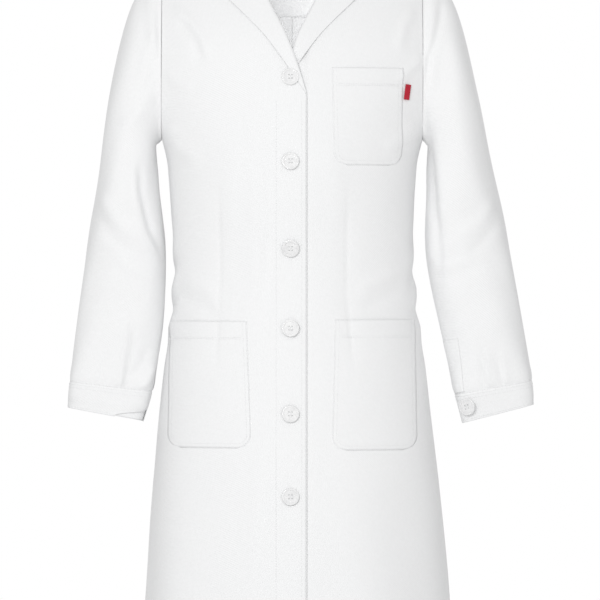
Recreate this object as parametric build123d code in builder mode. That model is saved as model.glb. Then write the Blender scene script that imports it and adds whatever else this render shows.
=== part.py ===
from build123d import *
from math import cos, radians, sin, sqrt
import os

# A knee-length lab coat on the body, buttoned, in mm. It faces -Y, +X is the wearer's left and
# +Z is up. The origin is the middle of the hanger loop's inner face, where a hook bears.

# Cloth and clearances
cloth = 1.6              # shell fabric with its seam turnings
facing_cloth = 1.4       # lighter inner layers
gap = 0.3                # clearance between pieces that move apart
step_width = 2           # cloth that joins a front or back to its recessed underlap
fold_gap = 0.6           # slit between the two sides of a fold that moves

# Torso: height, half width, half depth and centre of each level, from the hem to the neck
torso_levels = [
    (-1005, 214, 150, -62),
    (-780, 198, 140, -62),
    (-600, 180, 124, -62),
    (-430, 162, 108, -62),
    (-300, 168, 118, -62),
    (-255, 178, 114, -62),
    (-150, 205, 104, -62),
    (-43, 190, 70, -52),
    (-6, 76, 58, -48),
]
hem_height = torso_levels[0][0]
neck_height, neck_half_width, neck_half_depth, neck_centre = torso_levels[-1]
shoulder_height = -43    # levels from here up slope so much that their layers also step down
side_seam_y = -62
armhole_x = 176          # the sleeves are set in at this distance from the middle
armhole_bottom = -270
beyond = 400             # comfortably outside the coat
below = -1100            # comfortably under the hem

# Front closure: the wearer's right front laps over the left one
lap = 20                 # each front passes the middle by this much
roll_break = -205        # height where the lapels start to turn back
roll_middle = (29, -80)
roll_top = (66, -6)
roll_gorge = (43, -50)
facing_width = 45
button_column = -2
button_heights = [-181, -294, -410, -517, -631, -741]
button_radius = 11.5
button_thickness = 3.2
button_standoff = 2.5    # clear height between the cloth and a button's back
button_hole_radius = 1.0
button_hole_pitch = 4.0
thread_radius = 1.1
buttonhole_length = 25
buttonhole_height = 3.6

# Folds that open below the last button and at the back vent
corner_fold_top = (lap, -765)
corner_fold_slope = 0.5  # sideways per unit of height
corner_room = 4.0        # beside the corner's edge, which moves sideways as it swings out
vent_top = -700
vent_lap = 20
vent_fold_slope = 0.36
vent_underlap_depth = cloth + gap

# Pockets
pocket_hollow = 11.0
chest_pocket_left, chest_pocket_right = 53, 148
chest_pocket_top, chest_pocket_bottom = -168, -299
pocket_inner, pocket_outer = 57, 160
pocket_top, pocket_bottom = -507, -677
pocket_corner = 16
tab_height = 21
tab_width = 6.5
tab_thickness = 1.2
tab_middle = -199.5

# Collar
collar_half_width = 118
collar_half_depth = 70
collar_front_end = -44
stand_top = 14
stand_bottom = -16
loop_half_width = 28
loop_height = 6
loop_cloth = 1.2
loop_reach = 3           # from the loop's middle back to its widest part
loop_end_y = 2           # its ends are sewn to the stand here

# Sleeves: outer x, outer z, inner x, inner z, half depth and centre y of each station
sleeve_stations = {
    "right": [
        (-176.6, -40, -176.6, -252, 56, -56),
        (-213, -80, -181, -258, 60, -56),
        (-241, -200, -184, -268, 64, -56),
        (-258, -315, -186, -305, 62, -57),
        (-270, -396, -175, -412, 55, -58),
        (-282, -492, -178, -508, 45, -62),
        (-296, -588, -187, -602, 34, -67),
        (-299, -630, -200, -644, 27, -70),
    ],
    "left": [
        (176.6, -40, 176.6, -252, 56, -56),
        (217, -80, 181, -258, 60, -56),
        (247, -200, 184, -268, 64, -56),
        (267, -315, 186, -305, 62, -57),
        (284, -394, 174, -412, 55, -58),
        (303, -490, 195, -512, 45, -62),
        (319, -588, 216, -606, 34, -67),
        (322, -626, 227, -645, 27, -70),
    ],
}
sleeve_rounding = 0.94   # corner radius of a sleeve's section, as a share of its smaller half
elbow_station = 4
cuff_station = 6
placket_height = 110
placket_width = 24
cuff_button_reach = 0.68     # share of the cuff's half width from its middle to the slit
cuff_button_turn = 25        # degrees round the cuff's inner edge, from facing straight out
cuff_button_standoff = 3.8   # more than on the flatter front, so that it can tilt
cuff_button_side = {"right": 1, "left": -1}      # the right cuff fastens at the back of the wrist

os.makedirs("parts", exist_ok=True)


def torso_at(height):
    """Half width, half depth and centre of the torso at a height."""
    for low, high in zip(torso_levels, torso_levels[1:]):
        if low[0] <= height <= high[0]:
            share = (height - low[0]) / (high[0] - low[0])
            return [start + share * (end - start) for start, end in zip(low[1:], high[1:])]


def front_y(x, height):
    """Y of the coat's outer front surface."""
    half_width, half_depth, centre = torso_at(height)
    return centre - half_depth * sqrt(1 - (x / half_width) ** 2)


def torso_core(depth, open_neck=False):
    """The solid inside a layer of the torso, depth under the outer surface."""
    with BuildPart() as core:
        for height, half_width, half_depth, centre in torso_levels:
            drop = depth if height >= shoulder_height else 0
            with BuildSketch(Plane.XY.offset(height - drop)):
                with Locations((0, centre)):
                    Ellipse(half_width - depth, half_depth - depth)
        if open_neck:
            with BuildSketch(Plane.XY.offset(neck_height + 30)):
                with Locations((0, neck_centre)):
                    Ellipse(neck_half_width - depth, neck_half_depth - depth)
        loft(ruled=True)
    return core.part


def torso_layer(outer_depth, inner_depth):
    """The torso's cloth between two depths, open at the hem and the neck."""
    with BuildPart() as layer:
        add(torso_core(outer_depth))
        add(torso_core(inner_depth, open_neck=True), mode=Mode.SUBTRACT)
    return layer.part


def front_window(points):
    """Everything in front of a plane that lies inside an outline drawn on it."""
    with BuildPart() as window:
        with BuildSketch(Plane.XZ.offset(-side_seam_y)):
            with BuildLine():
                Polyline(*points, close=True)
            make_face()
        extrude(amount=beyond)
    return window.part


def back_window(points):
    """Everything behind the side seams that lies inside an outline seen from the front."""
    with BuildPart() as window:
        with BuildSketch(Plane.XZ.offset(-side_seam_y - beyond)):
            with BuildLine():
                Polyline(*points, close=True)
            make_face()
        extrude(amount=beyond)
    return window.part


def mirrored(points):
    return [(-x, z) for x, z in points]


def export(piece, name):
    piece.part.label = name
    export_step(piece.part, f"parts/{name}.step")


# The layers that the panels are cut from
outer_layer = torso_layer(0, cloth)
right_facing_layer = torso_layer(cloth, cloth + facing_cloth)
underlap_depth = cloth + facing_cloth + gap
underlap_layer = torso_layer(underlap_depth, underlap_depth + cloth)
underlap_step = torso_layer(0, underlap_depth + cloth)
left_facing_depth = underlap_depth + cloth
left_facing_layer = torso_layer(left_facing_depth, left_facing_depth + facing_cloth)

# Outlines that several pieces share
fold_foot_x = lap + (below - corner_fold_top[1]) * corner_fold_slope
side_and_armhole = [
    (beyond, below),
    (beyond, armhole_bottom),
    (armhole_x, armhole_bottom),
    (armhole_x, 30),
]
right_side = mirrored(side_and_armhole)

# Wearer's right front, which laps over, with its buttonholes
with BuildPart() as front_right_panel:
    add(outer_layer)
    right_outline = [
        (lap, roll_break),
        corner_fold_top,
        (fold_foot_x, below),
        *right_side,
        (-roll_top[0], 30),
        (-roll_top[0], roll_top[1]),
        (-roll_middle[0], roll_middle[1]),
    ]
    add(front_window(right_outline), mode=Mode.INTERSECT)
    for height in button_heights:
        with BuildSketch(Plane.XZ.offset(-side_seam_y)):
            with Locations((button_column, height)):
                SlotOverall(buttonhole_length, buttonhole_height)
        extrude(amount=beyond, mode=Mode.SUBTRACT)
export(front_right_panel, "front_right_panel")

with BuildPart() as front_right_facing:
    add(right_facing_layer)
    facing_foot = corner_fold_top[1] - (lap + facing_width) / corner_fold_slope
    right_facing_outline = [
        (lap, roll_break),
        corner_fold_top,
        (-facing_width, facing_foot),
        (-facing_width, roll_break),
        (-roll_middle[0] - facing_width, roll_middle[1]),
        (-roll_gorge[0] - facing_width, roll_gorge[1]),
        (-roll_gorge[0], roll_gorge[1]),
        (-roll_middle[0], roll_middle[1]),
    ]
    add(front_window(right_facing_outline), mode=Mode.INTERSECT)
    for height in button_heights:
        with BuildSketch(Plane.XZ.offset(-side_seam_y)):
            with Locations((button_column, height)):
                SlotOverall(buttonhole_length, buttonhole_height)
        extrude(amount=beyond, mode=Mode.SUBTRACT)
export(front_right_facing, "front_right_facing")

# The free corner of the right front, below the last button, and its facing
corner_outline = [
    (lap, corner_fold_top[1] - fold_gap / corner_fold_slope),
    (lap, below),
    (fold_foot_x + fold_gap, below),
]
with BuildPart() as front_right_corner:
    add(outer_layer)
    add(front_window(corner_outline), mode=Mode.INTERSECT)
export(front_right_corner, "front_right_corner")

with BuildPart() as front_right_corner_facing:
    add(right_facing_layer)
    add(front_window(corner_outline), mode=Mode.INTERSECT)
    with Locations((-facing_width - beyond / 2, side_seam_y, below)):
        Box(beyond, 2 * beyond, 3 * beyond, mode=Mode.SUBTRACT)
export(front_right_corner_facing, "front_right_corner_facing")

# Wearer's left front, which steps in under the right one
underlap_outer = lap + 2 * gap
corner_edge = underlap_outer + corner_room
corner_top = corner_fold_top[1] + corner_room
underlap_joint = corner_edge + step_width


def roll_height(x):
    """Height of the left roll line at an x between the break and its middle point."""
    return roll_break + (x + lap) / (roll_middle[0] + lap) * (roll_middle[1] - roll_break)


underlap_window = [
    (-lap, below),
    (-lap, roll_break),
    (underlap_joint, roll_height(underlap_joint)),
    (underlap_joint, below),
]
with BuildPart() as front_left_panel:
    add(outer_layer)
    left_outline = [
        (underlap_outer, corner_top),
        (corner_edge, corner_top),
        (corner_edge, below),
        *side_and_armhole,
        (roll_top[0], 30),
        roll_top,
        roll_middle,
        (underlap_outer, roll_height(underlap_outer)),
    ]
    add(front_window(left_outline), mode=Mode.INTERSECT)
    with BuildPart(mode=Mode.PRIVATE) as underlap:
        add(underlap_layer)
        add(front_window(underlap_window), mode=Mode.INTERSECT)
    with BuildPart(mode=Mode.PRIVATE) as step:
        add(underlap_step)
        step_window = [
            (corner_edge, below),
            (corner_edge, corner_top),
            (underlap_outer, corner_top),
            (underlap_outer, roll_height(underlap_outer)),
            (underlap_joint, roll_height(underlap_joint)),
            (underlap_joint, below),
        ]
        add(front_window(step_window), mode=Mode.INTERSECT)
    add(underlap.part)
    add(step.part)
export(front_left_panel, "front_left_panel")

with BuildPart() as front_left_facing:
    add(left_facing_layer)
    left_facing_outline = [
        (-lap, below),
        (-lap, roll_break),
        roll_middle,
        roll_gorge,
        (roll_gorge[0] + facing_width, roll_gorge[1]),
        (roll_middle[0] + facing_width, roll_middle[1]),
        (facing_width, roll_break),
        (facing_width, below),
    ]
    add(front_window(left_facing_outline), mode=Mode.INTERSECT)
export(front_left_facing, "front_left_facing")

# Back: two panels with a centre seam, and a vent that the left one covers
vent_fold_foot = (vent_top - below) * vent_fold_slope
with BuildPart() as back_left_panel:
    add(outer_layer)
    back_left_outline = [
        (0, vent_top),
        (vent_fold_foot, below),
        *side_and_armhole,
        (0, 30),
    ]
    add(back_window(back_left_outline), mode=Mode.INTERSECT)
export(back_left_panel, "back_left_panel")

with BuildPart() as back_vent_flap:
    add(outer_layer)
    flap_outline = [
        (-vent_lap, vent_top - fold_gap),
        (0, vent_top - fold_gap / vent_fold_slope),
        (vent_fold_foot - fold_gap / vent_fold_slope, below),
        (-vent_lap, below),
    ]
    add(back_window(flap_outline), mode=Mode.INTERSECT)
export(back_vent_flap, "back_vent_flap")

with BuildPart() as back_right_panel:
    add(outer_layer)
    vent_outer = -vent_lap - 2 * gap
    vent_joint = vent_outer - step_width
    back_right_outline = [
        (0, vent_top),
        (vent_outer, vent_top),
        (vent_outer, below),
        *right_side,
        (0, 30),
    ]
    add(back_window(back_right_outline), mode=Mode.INTERSECT)
    with BuildPart(mode=Mode.PRIVATE) as vent_underlap:
        add(torso_layer(vent_underlap_depth, vent_underlap_depth + cloth))
        vent_window = [
            (vent_joint, vent_top),
            (vent_lap, vent_top),
            (vent_lap, below),
            (vent_joint, below),
        ]
        add(back_window(vent_window), mode=Mode.INTERSECT)
    with BuildPart(mode=Mode.PRIVATE) as vent_step:
        add(torso_layer(0, vent_underlap_depth + cloth))
        vent_step_window = [
            (vent_joint, vent_top),
            (vent_outer, vent_top),
            (vent_outer, below),
            (vent_joint, below),
        ]
        add(back_window(vent_step_window), mode=Mode.INTERSECT)
    add(vent_underlap.part)
    add(vent_step.part)
export(back_right_panel, "back_right_panel")

# Neck: facing, label, stand, both collar leaves and the hanger loop
neck_facing_top = stand_bottom - 2
neck_facing_bottom = -90
neck_facing_half_width = 70
with BuildPart() as back_neck_facing:
    add(torso_layer(cloth, cloth + facing_cloth))
    neck_facing_outline = [
        (-neck_facing_half_width, neck_facing_bottom),
        (neck_facing_half_width, neck_facing_bottom),
        (neck_facing_half_width, neck_facing_top),
        (-neck_facing_half_width, neck_facing_top),
    ]
    add(back_window(neck_facing_outline), mode=Mode.INTERSECT)
export(back_neck_facing, "back_neck_facing")

label_width, label_height, label_cloth = 40, 18, 0.8
label_y, label_z = 9.6, -38
with BuildPart() as neck_label:
    with BuildSketch(Plane.XZ.offset(-label_y)):
        with Locations((0, label_z)):
            RectangleRounded(label_width, label_height, 1)
    extrude(amount=label_cloth)
export(neck_label, "neck_label")

neck_opening = [
    (roll_gorge[0] + 3, -60),
    roll_top,
    (roll_top[0], 40),
    (-roll_top[0], 40),
    (-roll_top[0], roll_top[1]),
    (-roll_gorge[0] - 3, -60),
]


def collar_leaf(outer_depth, inner_depth):
    """A layer of the collar's fall, lying on the shoulders."""
    with BuildPart() as leaf:
        add(torso_layer(outer_depth, inner_depth))
        with BuildSketch(Plane.XY.offset(collar_front_end)):
            with Locations((0, neck_centre)):
                Ellipse(collar_half_width, collar_half_depth)
        extrude(amount=80, mode=Mode.INTERSECT)
        add(front_window(neck_opening), mode=Mode.SUBTRACT)
    return leaf.part


under_leaf = -2.0
upper_leaf = under_leaf - facing_cloth
with BuildPart() as under_collar:
    add(collar_leaf(under_leaf, under_leaf + facing_cloth))
export(under_collar, "under_collar")

roll_width = 10          # the collar's roll reaches this far out from the stand
roll_inner_width = roll_width - 1.7 * facing_cloth      # measured level, across the slant
with BuildPart() as upper_collar:
    with BuildSketch(Plane.XY.offset(stand_top)):
        with Locations((0, neck_centre)):
            Ellipse(neck_half_width, neck_half_depth)
    with BuildSketch(Plane.XY.offset(neck_height + 1)):
        with Locations((0, neck_centre)):
            Ellipse(neck_half_width + roll_width, neck_half_depth + roll_width)
    loft(ruled=True)
    with BuildSketch(Plane.XY.offset(stand_top)):
        with Locations((0, neck_centre)):
            Ellipse(neck_half_width - facing_cloth, neck_half_depth - facing_cloth)
    with BuildSketch(Plane.XY.offset(neck_height + 1)):
        with Locations((0, neck_centre)):
            Ellipse(neck_half_width + roll_inner_width, neck_half_depth + roll_inner_width)
    loft(ruled=True, mode=Mode.SUBTRACT)
    add(front_window(neck_opening), mode=Mode.SUBTRACT)
    add(collar_leaf(upper_leaf, under_leaf))
export(upper_collar, "upper_collar")

stand_clearance = cloth + 0.2
with BuildPart() as collar_stand:
    with BuildSketch(Plane.XY.offset(stand_bottom)):
        with Locations((0, neck_centre)):
            Ellipse(neck_half_width - stand_clearance, neck_half_depth - stand_clearance)
            inner = stand_clearance + facing_cloth
            Ellipse(neck_half_width - inner, neck_half_depth - inner, mode=Mode.SUBTRACT)
    extrude(amount=stand_top - stand_bottom)
    add(front_window(neck_opening), mode=Mode.SUBTRACT)
export(collar_stand, "collar_stand")

with BuildPart() as hanger_loop:
    with BuildSketch(Plane.XY.offset(-loop_height / 2)):
        with Locations((0, loop_reach)):
            Ellipse(loop_half_width + loop_cloth, loop_reach + loop_cloth)
            Ellipse(loop_half_width, loop_reach, mode=Mode.SUBTRACT)
        with Locations((0, loop_end_y + loop_half_width)):
            Rectangle(4 * loop_half_width, 2 * loop_half_width, mode=Mode.SUBTRACT)
    extrude(amount=loop_height)
export(hanger_loop, "hanger_loop")

# Lapels, turned back over the fronts from just above the first button
lapel_foot = (-6.3, -170)
lapel_point = (110, -52)
lapel_outline = [lapel_foot, roll_middle, roll_gorge, lapel_point, (81, -80), (36, -126), (10.6, -160)]
with BuildPart() as lapel_right:
    add(torso_layer(-cloth, 0))
    add(front_window(mirrored(lapel_outline)), mode=Mode.INTERSECT)
export(lapel_right, "lapel_right")

with BuildPart() as lapel_left:
    add(torso_layer(-cloth, 0))
    add(front_window(lapel_outline), mode=Mode.INTERSECT)
    over_front = [
        (lap + 4, roll_break - 8),
        (-roll_middle[0] + 1, roll_middle[1]),
        (-beyond, roll_middle[1]),
        (-beyond, roll_break - 8),
    ]
    add(front_window(over_front), mode=Mode.SUBTRACT)
export(lapel_left, "lapel_left")


def pocket(inner_x, outer_x, top, bottom):
    """A patch pocket that stands off the front by its hollow, open at the top."""
    low_x, high_x = sorted((inner_x, outer_x))
    middle = ((low_x + high_x) / 2, (top + bottom) / 2)
    width, height = high_x - low_x, top - bottom
    with BuildPart() as bag:
        add(torso_layer(-pocket_hollow - cloth, 0))
        with BuildSketch(Plane.XZ.offset(-side_seam_y)):
            with Locations(middle):
                RectangleRounded(width, height, pocket_corner)
            with Locations((middle[0], top - pocket_corner / 2)):
                Rectangle(width, pocket_corner)
        extrude(amount=beyond, mode=Mode.INTERSECT)
        with BuildPart(mode=Mode.PRIVATE) as hollow:
            add(torso_layer(-pocket_hollow, 0))
            with BuildSketch(Plane.XZ.offset(-side_seam_y)):
                with Locations(middle):
                    RectangleRounded(width - 2 * cloth, height - 2 * cloth, pocket_corner - cloth)
                with Locations((middle[0], top)):
                    Rectangle(width - 2 * cloth, 2 * pocket_corner)
            extrude(amount=beyond, mode=Mode.INTERSECT)
        add(hollow.part, mode=Mode.SUBTRACT)
    return bag.part


with BuildPart() as chest_pocket:
    add(pocket(chest_pocket_left, chest_pocket_right, chest_pocket_top, chest_pocket_bottom))
export(chest_pocket, "chest_pocket")

with BuildPart() as pocket_right:
    add(pocket(-pocket_inner, -pocket_outer, pocket_top, pocket_bottom))
export(pocket_right, "pocket_right")

with BuildPart() as pocket_left:
    add(pocket(pocket_inner, pocket_outer, pocket_top, pocket_bottom))
export(pocket_left, "pocket_left")

# Plain red tab, caught in the chest pocket's outer seam and lying back over the front
tab_x = chest_pocket_right + tab_thickness + 2 * gap
tab_end_x = tab_x + tab_width
tab_start = Vector(tab_x, front_y(tab_x, tab_middle), tab_middle)
tab_end = Vector(tab_end_x, front_y(tab_end_x, tab_middle), tab_middle)
tab_along = (tab_end - tab_start).normalized()
tab_out = tab_along.cross(Vector(0, 0, 1)).normalized()
tab_plane = Plane(origin=tab_start + tab_out * 4 * gap, x_dir=tab_along, z_dir=tab_out)
with BuildPart() as side_tab:
    with BuildSketch(tab_plane):
        with Locations((tab_width / 2, 0)):
            Rectangle(tab_width, tab_height)
    extrude(amount=tab_thickness)
export(side_tab, "side_tab")


def front_normal(height):
    """Outward direction of the coat's front on the button column."""
    step = 4
    upper = Vector(button_column, front_y(button_column, height + step), height + step)
    lower = Vector(button_column, front_y(button_column, height - step), height - step)
    return (upper - lower).cross(Vector(-1, 0, 0)).normalized()


def button(plane):
    """A four-hole button with a raised rim, its back on the plane."""
    with BuildPart() as disc:
        with BuildSketch(plane):
            Circle(button_radius)
        extrude(amount=button_thickness)
        rim = disc.edges().filter_by(GeomType.CIRCLE)
        fillet(rim, 0.9)
        with BuildSketch(plane.offset(button_thickness - 0.8)):
            Circle(button_radius - 2.6)
        extrude(amount=2, mode=Mode.SUBTRACT)
        with BuildSketch(plane):
            with GridLocations(button_hole_pitch, button_hole_pitch, 2, 2):
                Circle(button_hole_radius)
        extrude(amount=button_thickness + 1, mode=Mode.SUBTRACT)
    return disc.part


# Front buttons, and the thread shanks that pass through the buttonholes to the left front
button_planes = []
for height in button_heights:
    surface = Vector(button_column, front_y(button_column, height), height)
    outward = front_normal(height)
    back = surface + outward * button_standoff
    button_planes.append(Plane(origin=back, x_dir=(1, 0, 0), z_dir=outward))

for number, plane in enumerate(button_planes, 1):
    with BuildPart() as front_button:
        add(button(plane))
    export(front_button, f"front_button_{number}")

with BuildPart() as front_button_threads:
    for plane in button_planes:
        with BuildSketch(plane.offset(-gap)):
            Circle(thread_radius)
        extrude(amount=-(button_standoff - gap + underlap_depth - 0.15))
export(front_button_threads, "front_button_threads")


def sleeve_section(station):
    """Plane, half width and half depth of a sleeve station."""
    outer_x, outer_z, inner_x, inner_z, half_depth, centre_y = station
    outer = Vector(outer_x, centre_y, outer_z)
    inner = Vector(inner_x, centre_y, inner_z)
    across = outer - inner
    plane = Plane(origin=(outer + inner) * 0.5, x_dir=across, z_dir=across.cross(Vector(0, 1, 0)))
    return plane, across.length / 2, half_depth


def sleeve_core(stations, depth):
    with BuildPart() as core:
        for station in stations:
            plane, half_width, half_depth = sleeve_section(station)
            rounding = sleeve_rounding * min(half_width, half_depth)
            with BuildSketch(plane):
                width, height = 2 * (half_width - depth), 2 * (half_depth - depth)
                RectangleRounded(width, height, rounding - depth)
        loft(ruled=True)
    return core.part


def lowered(station, drop):
    outer_x, outer_z, inner_x, inner_z, half_depth, centre_y = station
    return (outer_x, outer_z - drop, inner_x, inner_z - drop, half_depth, centre_y)


for side, stations in sleeve_stations.items():
    outward = -1 if side == "right" else 1
    upper_stations = stations[:elbow_station + 1]
    forearm_stations = [lowered(stations[elbow_station], fold_gap)]
    forearm_stations += stations[elbow_station + 1:cuff_station + 1]
    cuff_stations = stations[cuff_station:]

    with BuildPart() as sleeve_upper:
        add(sleeve_core(upper_stations, 0))
        add(sleeve_core(upper_stations, cloth), mode=Mode.SUBTRACT)
    export(sleeve_upper, f"sleeve_{side}_upper")

    with BuildPart() as sleeve_forearm:
        add(sleeve_core(forearm_stations, 0))
        add(sleeve_core(forearm_stations, cloth), mode=Mode.SUBTRACT)
    export(sleeve_forearm, f"sleeve_{side}_forearm")

    with BuildPart() as cuff:
        add(sleeve_core(cuff_stations, 0))
        add(sleeve_core(cuff_stations, cloth), mode=Mode.SUBTRACT)
    export(cuff, f"cuff_{side}")

    with BuildPart() as cuff_facing:
        add(sleeve_core(cuff_stations, cloth))
        add(sleeve_core(cuff_stations, cloth + facing_cloth), mode=Mode.SUBTRACT)
    export(cuff_facing, f"cuff_{side}_facing")

    # The button sits on the inner half of the cuff, turned to the front or to the back
    top, bottom = (sleeve_section(station) for station in cuff_stations)
    centre = (top[0].origin + bottom[0].origin) * 0.5
    across = (top[0].x_dir + bottom[0].x_dir).normalized()
    half_width = (top[1] + bottom[1]) / 2
    half_depth = (top[2] + bottom[2]) / 2
    face = cuff_button_side[side]
    turn = radians(cuff_button_turn)
    rounding = sleeve_rounding * half_depth
    normal = across * -sin(turn) + Vector(0, face * cos(turn), 0)
    spot = centre - across * (half_width - rounding) + Vector(0, face * (half_depth - rounding), 0)
    spot += normal * (rounding + gap)
    along = normal.cross(top[0].z_dir).normalized()
    button_back = spot + normal * cuff_button_standoff
    button_plane = Plane(origin=button_back, x_dir=along, z_dir=normal)

    with BuildPart() as cuff_button:
        add(button(button_plane))
    export(cuff_button, f"cuff_{side}_button")

    with BuildPart() as cuff_thread:
        with BuildSketch(button_plane.offset(-gap)):
            Circle(thread_radius)
        extrude(amount=-(cuff_button_standoff - 2 * gap))
    export(cuff_thread, f"cuff_{side}_thread")

    # The slit above the cuff is bound with a placket, in line with the button
    slit_station = forearm_stations[-1]
    with BuildPart() as placket:
        add(sleeve_core(forearm_stations, -facing_cloth))
        add(sleeve_core(forearm_stations, 0), mode=Mode.SUBTRACT)
        slit_plane, slit_half_width, slit_depth = sleeve_section(slit_station)
        slit_x = slit_plane.origin.X - slit_plane.x_dir.X * slit_half_width * cuff_button_reach
        slit_top = slit_plane.origin.Z + placket_height
        strip_reach = 30     # from half way out to the sleeve's face to well outside it
        strip_y = slit_plane.origin.Y + face * (slit_depth / 2 + strip_reach)
        strip_height = placket_height + slit_depth
        with Locations((slit_x - outward * 10, strip_y, slit_top - strip_height / 2)):
            Box(placket_width, 2 * strip_reach, strip_height, mode=Mode.INTERSECT)
    export(placket, f"sleeve_{side}_placket")
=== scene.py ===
import math

import bpy
import numpy as np
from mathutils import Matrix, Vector


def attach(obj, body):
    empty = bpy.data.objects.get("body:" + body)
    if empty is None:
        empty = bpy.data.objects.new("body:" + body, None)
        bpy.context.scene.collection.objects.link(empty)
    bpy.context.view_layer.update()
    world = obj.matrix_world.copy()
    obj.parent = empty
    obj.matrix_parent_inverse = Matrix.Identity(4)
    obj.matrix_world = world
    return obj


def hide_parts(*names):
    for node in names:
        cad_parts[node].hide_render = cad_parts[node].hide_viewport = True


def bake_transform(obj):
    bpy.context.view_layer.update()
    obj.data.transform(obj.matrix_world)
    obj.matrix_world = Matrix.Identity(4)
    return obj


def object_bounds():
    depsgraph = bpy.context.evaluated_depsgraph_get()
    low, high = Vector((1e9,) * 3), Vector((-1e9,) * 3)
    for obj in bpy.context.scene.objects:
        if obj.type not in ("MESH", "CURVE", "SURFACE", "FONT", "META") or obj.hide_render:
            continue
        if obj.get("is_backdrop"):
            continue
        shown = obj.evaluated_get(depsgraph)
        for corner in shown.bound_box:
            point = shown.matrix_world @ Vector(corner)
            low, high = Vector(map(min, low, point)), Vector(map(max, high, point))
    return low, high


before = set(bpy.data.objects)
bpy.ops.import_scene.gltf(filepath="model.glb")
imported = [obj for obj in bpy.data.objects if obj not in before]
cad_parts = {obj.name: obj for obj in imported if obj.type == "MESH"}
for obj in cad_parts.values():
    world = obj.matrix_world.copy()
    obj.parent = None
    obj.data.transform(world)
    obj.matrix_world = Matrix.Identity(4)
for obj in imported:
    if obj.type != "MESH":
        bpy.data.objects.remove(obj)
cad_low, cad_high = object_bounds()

MM = 0.001
TAU = 2 * math.pi

# Sizes that the cloth pieces share with the CAD model, in millimetres
TORSO_LEVELS = np.array([        # height, half width, half depth, centre y
    (-1005, 214, 150, -62),
    (-780, 198, 140, -62),
    (-600, 180, 124, -62),
    (-430, 162, 108, -62),
    (-300, 168, 118, -62),
    (-255, 178, 114, -62),
    (-150, 205, 104, -62),
    (-43, 190, 70, -52),
    (-6, 76, 58, -48),
], float)
HEM, NECK = TORSO_LEVELS[0, 0], TORSO_LEVELS[-1, 0]
NECK_MIDDLE = TORSO_LEVELS[-1, 3]
ARMHOLE_X = 176
ARMHOLE_FOOT = -270
LAP = 20
BUTTON_X = -2
CORNER_FOLD_SLOPE = 0.5
VENT_TOP = -700
VENT_LAP = 20
VENT_FOLD_SLOPE = 0.36
OUTWARD = {"right": -1, "left": 1}

# Sizes of the cloth pieces alone, in millimetres
ROLL_LINE = np.array([(20, -205), (8, -165), (-9, -120), (-29, -80), (-45, -50), (-66, -8)], float)
SLEEVES = {                      # outer x, outer z, inner x, inner z, half depth, centre y
    "right": np.array([
        (-176.6, -40, -176.6, -262, 56, -58),
        (-216, -80, -181, -268, 60, -57),
        (-247, -200, -184, -276, 64, -56),
        (-263, -315, -181, -322, 62, -57),
        (-275, -394, -171, -412, 55, -58),
        (-288, -492, -174, -508, 45, -62),
        (-301, -588, -190, -602, 34, -67),
        (-303, -624, -201, -643, 27, -70),
    ], float),
    "left": np.array([
        (176.6, -40, 176.6, -262, 56, -58),
        (219, -80, 181, -268, 60, -57),
        (252, -200, 184, -276, 64, -56),
        (274, -315, 181, -326, 62, -57),
        (291, -394, 180, -412, 55, -58),
        (309, -490, 200, -512, 45, -62),
        (324, -588, 220, -606, 34, -67),
        (326, -620, 230, -645, 27, -70),
    ], float),
}
BUTTON_HEIGHTS = (-180.8, -293.8, -410.2, -516.8, -630.8, -740.8)
CLOTH = 0.9
FACING_CLOTH = 0.7
HEM_ROW = HEM + 12               # height of the hem's topstitching
STITCH_LIFT = 0.1                # of a row of topstitching over the cloth
CUFF_CUT = 75                    # degrees that the right cuff's end is cut back at its edge
BODY_MIDDLE_Y = -60              # inside the torso, for telling the cloth's outer face
LEFT_BACK_LIFT = 0.4             # the left back lies over the right one
POCKET_HEM = 24


# ---------------------------------------------------------------- curves and surfaces

def smooth(low, high, value):
    """0 below low, 1 above high and an even ramp between them."""
    t = np.clip((np.asarray(value, float) - low) / (high - low), 0, 1)
    return t * t * (3 - 2 * t)


def bell(value, width):
    """1 at zero, falling off evenly on both sides over about the width."""
    return np.exp(-(np.asarray(value, float) / width) ** 2)


def hermite(xs, ys, monotone=True):
    """A smooth curve through the points; monotone keeps it from overshooting them."""
    h, d = np.diff(xs), np.diff(ys) / np.diff(xs)
    m = np.zeros(len(xs))
    m[0], m[-1] = d[0], d[-1]
    for i in range(1, len(xs) - 1):
        if not monotone:
            m[i] = (d[i - 1] * h[i] + d[i] * h[i - 1]) / (h[i] + h[i - 1])
        elif d[i - 1] * d[i] > 0:
            w1, w2 = 2 * h[i] + h[i - 1], h[i] + 2 * h[i - 1]
            m[i] = (w1 + w2) / (w1 / d[i - 1] + w2 / d[i])

    def at(x):
        x = np.clip(np.asarray(x, float), xs[0], xs[-1])
        i = np.clip(np.searchsorted(xs, x) - 1, 0, len(h) - 1)
        t = (x - xs[i]) / h[i]
        a = ys[i] * (2 * t**3 - 3 * t**2 + 1) + ys[i + 1] * (3 * t**2 - 2 * t**3)
        return a + h[i] * (m[i] * (t**3 - 2 * t**2 + t) + m[i + 1] * (t**3 - t**2))
    return at


half_width = hermite(TORSO_LEVELS[:, 0], TORSO_LEVELS[:, 1])
half_depth = hermite(TORSO_LEVELS[:, 0], TORSO_LEVELS[:, 2])
centre_y = hermite(TORSO_LEVELS[:, 0], TORSO_LEVELS[:, 3])


def lean(z):
    """The skirt hangs a little to the wearer's left."""
    return 2.5 * smooth(-330, -480, z) + 3.5 * smooth(-480, -1000, z)


def ellipse_point(z, phi):
    """The torso without folds. phi is 0 at the front and grows to the wearer's left."""
    z, phi = np.broadcast_arrays(np.asarray(z, float), np.asarray(phi, float))
    x = lean(z) + half_width(z) * np.sin(phi)
    y = centre_y(z) - half_depth(z) * np.cos(phi)
    return np.stack([x, y, z], -1)


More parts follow.
